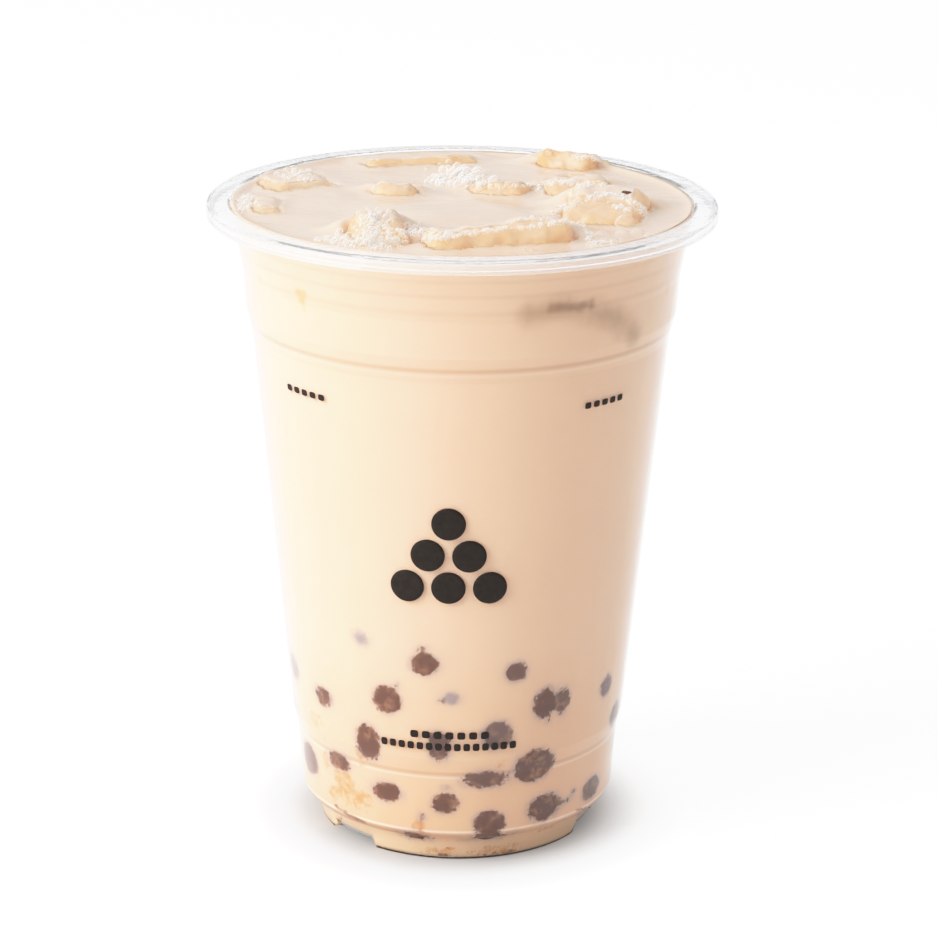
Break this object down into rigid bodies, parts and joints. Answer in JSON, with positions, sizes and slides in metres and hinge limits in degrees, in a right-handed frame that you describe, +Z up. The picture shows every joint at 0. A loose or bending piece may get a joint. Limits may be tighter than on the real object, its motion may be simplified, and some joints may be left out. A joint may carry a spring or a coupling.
{
  "type": "bubble tea",
  "caption": "Clear takeaway cup filled to the rim with iced milk tea over dark tapioca pearls, standing on its foot.",
  "frame": {"origin": "centre of the foot ring, on the table", "axes": "+Z up; -Y is the printed side that faces the drinker, +X is to their right"},
  "size_m": [0.095, 0.095, 0.1257],
  "materials": {
    "clear_plastic": "clear, glossy",
    "milk_tea": "opaque liquid, glossy",
    "ice": "wet, tinted by the tea",
    "tapioca": "soft, glossy",
    "print": "matt ink",
    "froth": "fine bubbles"
  },
  "bodies": {
    "root": {"cup": "clear_plastic", "milk_tea": "milk_tea", "ice_front": "ice", "ice_peak": "ice", "ice_right": "ice", "ice_middle": "ice", "ice_ledge": "ice", "ice_chip": "ice", "ice_back": "ice", "ice_rear": "ice", "ice_left": "ice", "ice_sliver": "ice", "ice_crown": "ice"}
  },
  "joints": []
}
